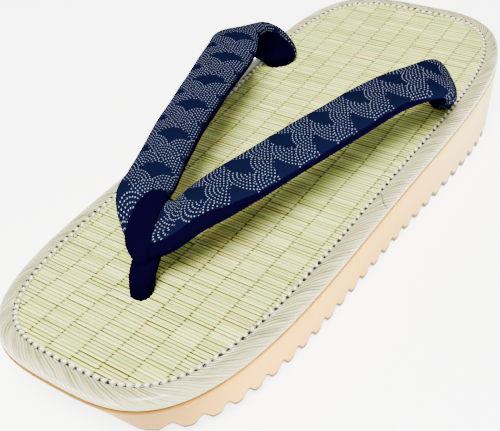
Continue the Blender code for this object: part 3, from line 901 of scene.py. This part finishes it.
def make_straps(look):
    """The padded V in printed cotton with its velvet lining."""
    half = smoothed(strap_rows(), STRAP_STEPS)
    last = len(half) - 1
    lengths = [0.0]
    for a, b in zip(half, half[1:]):
        lengths.append(lengths[-1] + (Vector(b[:3]) - Vector(a[:3])).length)
    middle = half[len(half) // 2]
    for name, layer, count, slot, finish in (
            ("printed_strap", "face", FACE_POINTS, "strap_face", print_finish(look)),
            ("velvet_lining", "lining", LINING_POINTS, "strap_underside", velvet_finish(look))):
        turns = layer_turns(layer, count)
        across = pattern_length(middle, turns)

        def place(i, j, layer=layer, turns=turns, count=count):
            number = abs(i - last)
            row = half[number]
            near_root = min(1.0, max(0.0, number / STRAP_STEPS - 5.8) / 1.7)
            share = LINING_SHARE - look.root_border * near_root
            turn = layer_turns(layer, count, share)[j % len(turns)]
            grow = 0.0
            if 0 < number < last - STRAP_STEPS:
                centre = Vector(row[:3])
                grow = 0.22 * MM * noise.noise(centre * 70 + Vector((turn, 0, 0)))
            if layer == "face" and 0 < j < len(turns) - 1:
                grow += 0.25 * MM
            point = strap_point(row, turn, grow)
            point.x = 0.0 if number == 0 else max(point.x, 0.1 * MM)
            return Vector((point.x if i > last else -point.x, point.y, point.z))

        def chart(i, j, middle_count, across=across):
            wide = across[j] if j < len(across) else across[0] - 0.006
            far = lengths[abs(i - last)]
            if middle_count > last:
                return (0.0595 - far) * 10, (wide - 0.0196) * 10
            return (far - 0.0375) * 10, (wide - 0.0184) * 10

        shape = bmesh.new()
        past = shape.verts.layers.float.new("past_border")
        made = grid_bent(shape, 2 * last, len(turns), place, chart)
        for count, vert in enumerate(made):
            i, j = count % (2 * last + 1), count // (2 * last + 1)
            from_crown = lengths[abs(i - last)]
            run = across[min(j, len(across) - 1)]
            at_root = min(1.0, max(0.0, abs(i - last) / STRAP_STEPS - 5.8) / 1.7)
            lower = upper = look.border * (1 - 2 * at_root)
            if i >= last:
                lower += look.near_border * (1 - at_root)
                lower += look.crown_border * max(0.0, 1 - from_crown / look.crown_reach)
            vert[past] = min(run - across[0] - lower, across[-1] - run - upper) / MM
        close_up(shape)
        piece = finish_piece(name, shape, finish, slot, 60)
        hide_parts(slot)


def make_post(look):
    """The velvet toe post, and the hood that wraps the crown."""
    velvet = bpy.data.materials["velvet"]
    steps = 6
    rows = []
    for low, high in zip(POST_ROWS, POST_ROWS[1:]):
        for step in range(steps):
            share = step / steps
            rows.append({key: low[key] + (high[key] - low[key]) * share for key in low})
    rows.append(POST_ROWS[-1])

    def place(i, j):
        row = rows[i]
        u, v = squared(2 * math.pi * j / 28, POST_SQUARENESS)
        return Vector((u * POST_WIDTH * row["wide"] / 2,
                       POST_Y + row["back"] + v * POST_DEPTH * row["deep"] / 2,
                       surface(POST_Y) + row["up"]))

    shape = bmesh.new()
    grid_bent(shape, len(rows) - 1, 28, place)
    close_up(shape)
    bmesh.ops.smooth_vert(shape, verts=shape.verts, factor=0.5, use_axis_x=True, use_axis_y=True,
                          use_axis_z=True)
    post = finish_piece("toe_post_velvet", shape, velvet, "toe_post", 60)

    crown = smoothed(strap_rows(), HOOD_STEPS)[:HOOD_ROWS * HOOD_STEPS + 1]

    def skin(number, turn, grow):
        low = min(int(number), len(crown) - 2)
        a = strap_point(crown[low], turn, grow)
        return a.lerp(strap_point(crown[low + 1], turn, grow), number - low)

    limits = {}
    for side in (-1, 1):
        for step in range(HOOD_POINTS):
            turn = 2 * math.pi * step / HOOD_POINTS
            number, inside = 0.0, True
            while number < len(crown) - 2 and inside:
                number += 0.25
                spot = skin(number, turn, GAP)
                along = (spot.y - look.hood_middle) / (look.hood_length / 2)
                shift = look.hood_shift + look.hood_tilt * (spot.y - look.hood_middle)
                reach = max(0.1 * MM, look.hood_reach - side * shift)
                inside = (spot.x / reach) ** 2 + along * along < 1
            limits[side, step] = number
    outer = [step / 6 for step in range(-6, 7)]
    inner = [0.8, 0.0, -0.8]

    def wrap(i, j):
        step = i % HOOD_POINTS
        turn = 2 * math.pi * step / HOOD_POINTS
        band = (outer + inner)[j % (len(outer) + len(inner))]
        over = j % (len(outer) + len(inner)) < len(outer)
        inner_side = max(0.0, -math.cos(turn))
        wall = look.hood_wall * (1 - 0.6 * inner_side) * (1 - 0.7 * abs(band) ** 5)
        grow = GAP + (wall if over else 0.0)
        point = skin(abs(band) * limits[1 if band > 0 else -1, step], turn, grow)
        return Vector((math.copysign(max(point.x, 0.0), band) if band else 0.0, point.y, point.z))

    shape = bmesh.new()
    grid_bent(shape, HOOD_POINTS, len(outer) + len(inner), wrap)
    close_up(shape)
    hood = finish_piece("crown_hood", shape, velvet, "toe_post", 60)
    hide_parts("toe_post")
    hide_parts("toe_post")


def area_light(name, place, size, power, colour, aim):
    """A soft square light that looks at a point."""
    data = bpy.data.lights.new(name, "AREA")
    data.energy = power
    data.size = size
    data.color = colour
    lamp = bpy.data.objects.new(name, data)
    lamp.location = place
    lamp.rotation_euler = (Vector(aim) - Vector(place)).to_track_quat("-Z", "Y").to_euler()
    bpy.context.scene.collection.objects.link(lamp)


def make_stage(look):
    """Floor, soft studio light and the photograph's camera."""
    shape = bmesh.new()
    bmesh.ops.create_grid(shape, x_segments=1, y_segments=1, size=4)
    mesh = bpy.data.meshes.new("floor")
    shape.to_mesh(mesh)
    shape.free()
    mesh.materials.append(shade("floor_paint", 0.9, look.floor_colour, Emission_Strength=look.glow,
                                Emission_Color=(1, 1, 1, 1))[0])
    floor = bpy.data.objects.new("floor", mesh)
    bpy.context.scene.collection.objects.link(floor)
    world = bpy.data.worlds.new("studio")
    world.use_nodes = True
    world.node_tree.nodes["Background"].inputs["Color"].default_value = (1, 1, 1, 1)
    world.node_tree.nodes["Background"].inputs["Strength"].default_value = look.sky
    bpy.context.scene.world = world
    area_light("key", (0.20, -0.42, 0.74), 0.32, look.key_power, (1, 0.98, 0.95), (0, 0, 0))
    area_light("fill", (-0.55, 0.45, 0.45), 0.7, look.fill_power, (0.97, 0.98, 1), (0, 0, 0.02))
    data = bpy.data.cameras.new("camera")
    data.lens = look.lens
    data.sensor_width = SENSOR
    data.clip_start = 0.01
    data.clip_end = 50
    camera = bpy.data.objects.new("camera", data)
    azimuth, height, roll = (math.radians(angle) for angle in look.camera_turn)
    back = Vector((math.sin(azimuth) * math.cos(height), -math.cos(azimuth) * math.cos(height),
                   math.sin(height)))
    right = Vector((math.cos(azimuth), math.sin(azimuth), 0))
    up = back.cross(right)
    x_axis = right * math.cos(roll) + up * math.sin(roll)
    y_axis = up * math.cos(roll) - right * math.sin(roll)
    turned = Matrix((x_axis, y_axis, back)).transposed().to_4x4()
    turned.translation = Vector(look.camera_place)
    camera.matrix_world = turned
    bpy.context.scene.collection.objects.link(camera)
    bpy.context.scene.camera = camera


class ZORI_OT_sole(bpy.types.Operator):
    """Build the foam sole"""
    bl_idname = "zori.sole"
    bl_label = "Sole"

    def execute(self, context):
        make_sole(context.scene.zori_sole)
        return {"FINISHED"}


class ZORI_OT_mat(bpy.types.Operator):
    """Build the rush footbed"""
    bl_idname = "zori.mat"
    bl_label = "Rush footbed"

    def execute(self, context):
        make_rushes(context.scene.zori_mat)
        return {"FINISHED"}


class ZORI_OT_tape(bpy.types.Operator):
    """Build the edge tape and its stitches"""
    bl_idname = "zori.tape"
    bl_label = "Tape and stitches"

    def execute(self, context):
        make_tape(context.scene.zori_tape)
        return {"FINISHED"}


class ZORI_OT_straps(bpy.types.Operator):
    """Build the printed straps and their lining"""
    bl_idname = "zori.straps"
    bl_label = "Straps"

    def execute(self, context):
        make_straps(context.scene.zori_strap)
        return {"FINISHED"}


class ZORI_OT_post(bpy.types.Operator):
    """Build the toe post and the hood over the crown"""
    bl_idname = "zori.post"
    bl_label = "Toe post"

    def execute(self, context):
        make_post(context.scene.zori_strap)
        return {"FINISHED"}


class ZORI_OT_stage(bpy.types.Operator):
    """Build the floor, the lights and the camera"""
    bl_idname = "zori.stage"
    bl_label = "Stage"

    def execute(self, context):
        make_stage(context.scene.zori_stage)
        return {"FINISHED"}


STEPS = (ZORI_OT_sole, ZORI_OT_mat, ZORI_OT_tape, ZORI_OT_straps, ZORI_OT_post, ZORI_OT_stage)
LOOKS = (("zori_sole", ZORI_PG_sole), ("zori_mat", ZORI_PG_mat), ("zori_tape", ZORI_PG_tape),
         ("zori_strap", ZORI_PG_strap), ("zori_stage", ZORI_PG_stage))


class ZORI_PT_panel(bpy.types.Panel):
    """The sandal's steps and looks"""
    bl_label = "Zori sandal"
    bl_idname = "ZORI_PT_panel"
    bl_space_type = "VIEW_3D"
    bl_region_type = "UI"
    bl_category = "Zori"

    def draw(self, context):
        for step in STEPS:
            self.layout.operator(step.bl_idname)
        for name, group in LOOKS:
            box = self.layout.box()
            for key in group.__annotations__:
                box.prop(getattr(context.scene, name), key)


def register():
    """Register every class and hang the looks on the scene."""
    for name, group in LOOKS:
        bpy.utils.register_class(group)
        setattr(bpy.types.Scene, name, PointerProperty(type=group))
    for step in STEPS:
        bpy.utils.register_class(step)
    bpy.utils.register_class(ZORI_PT_panel)


def unregister():
    """Undo register."""
    bpy.utils.unregister_class(ZORI_PT_panel)
    for step in reversed(STEPS):
        bpy.utils.unregister_class(step)
    for name, group in reversed(LOOKS):
        delattr(bpy.types.Scene, name)
        bpy.utils.unregister_class(group)


def main():
    """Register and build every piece."""
    register()
    for step in STEPS:
        group, action = step.bl_idname.split(".")
        getattr(getattr(bpy.ops, group), action)()


if __name__ == "__main__":
    main()
